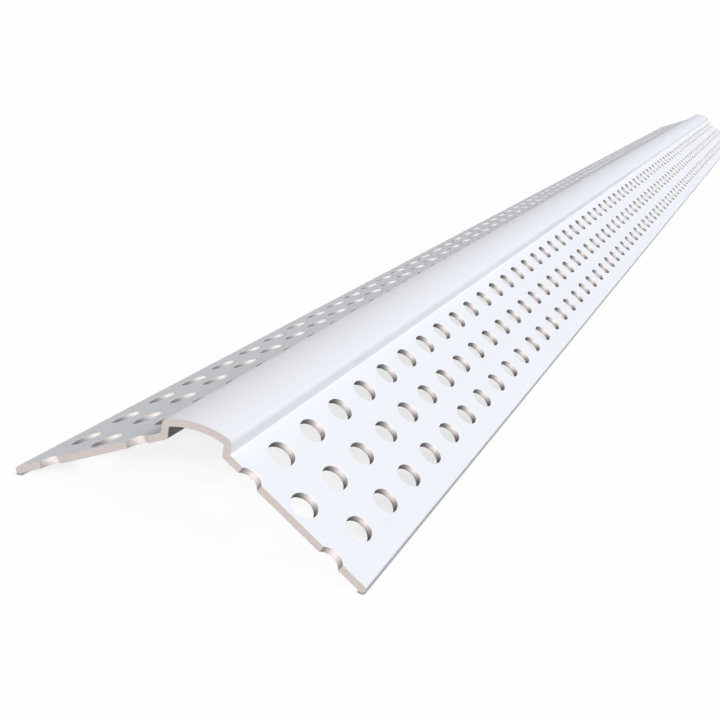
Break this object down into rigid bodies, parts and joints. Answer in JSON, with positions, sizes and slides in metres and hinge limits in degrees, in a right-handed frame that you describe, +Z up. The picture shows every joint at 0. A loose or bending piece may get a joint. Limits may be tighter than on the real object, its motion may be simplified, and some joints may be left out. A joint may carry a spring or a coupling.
{
  "type": "drywall corner bead",
  "caption": "Bullnose drywall corner bead: rounded nose between two thin flanges perforated with staggered rows of oval nail holes.",
  "frame": {"origin": "on the floor below the middle of the bead, as it lies with its nose up", "axes": "+X along the bead, away from the end that is near in the picture; +Z up through the nose"},
  "size_m": [0.9144, 0.0606, 0.0179],
  "materials": {
    "white_pvc": "smooth extruded rigid vinyl with a slight sheen; cut ends and hole walls a little duller"
  },
  "bodies": {
    "root": {"corner_bead": "white_pvc"}
  },
  "joints": []
}
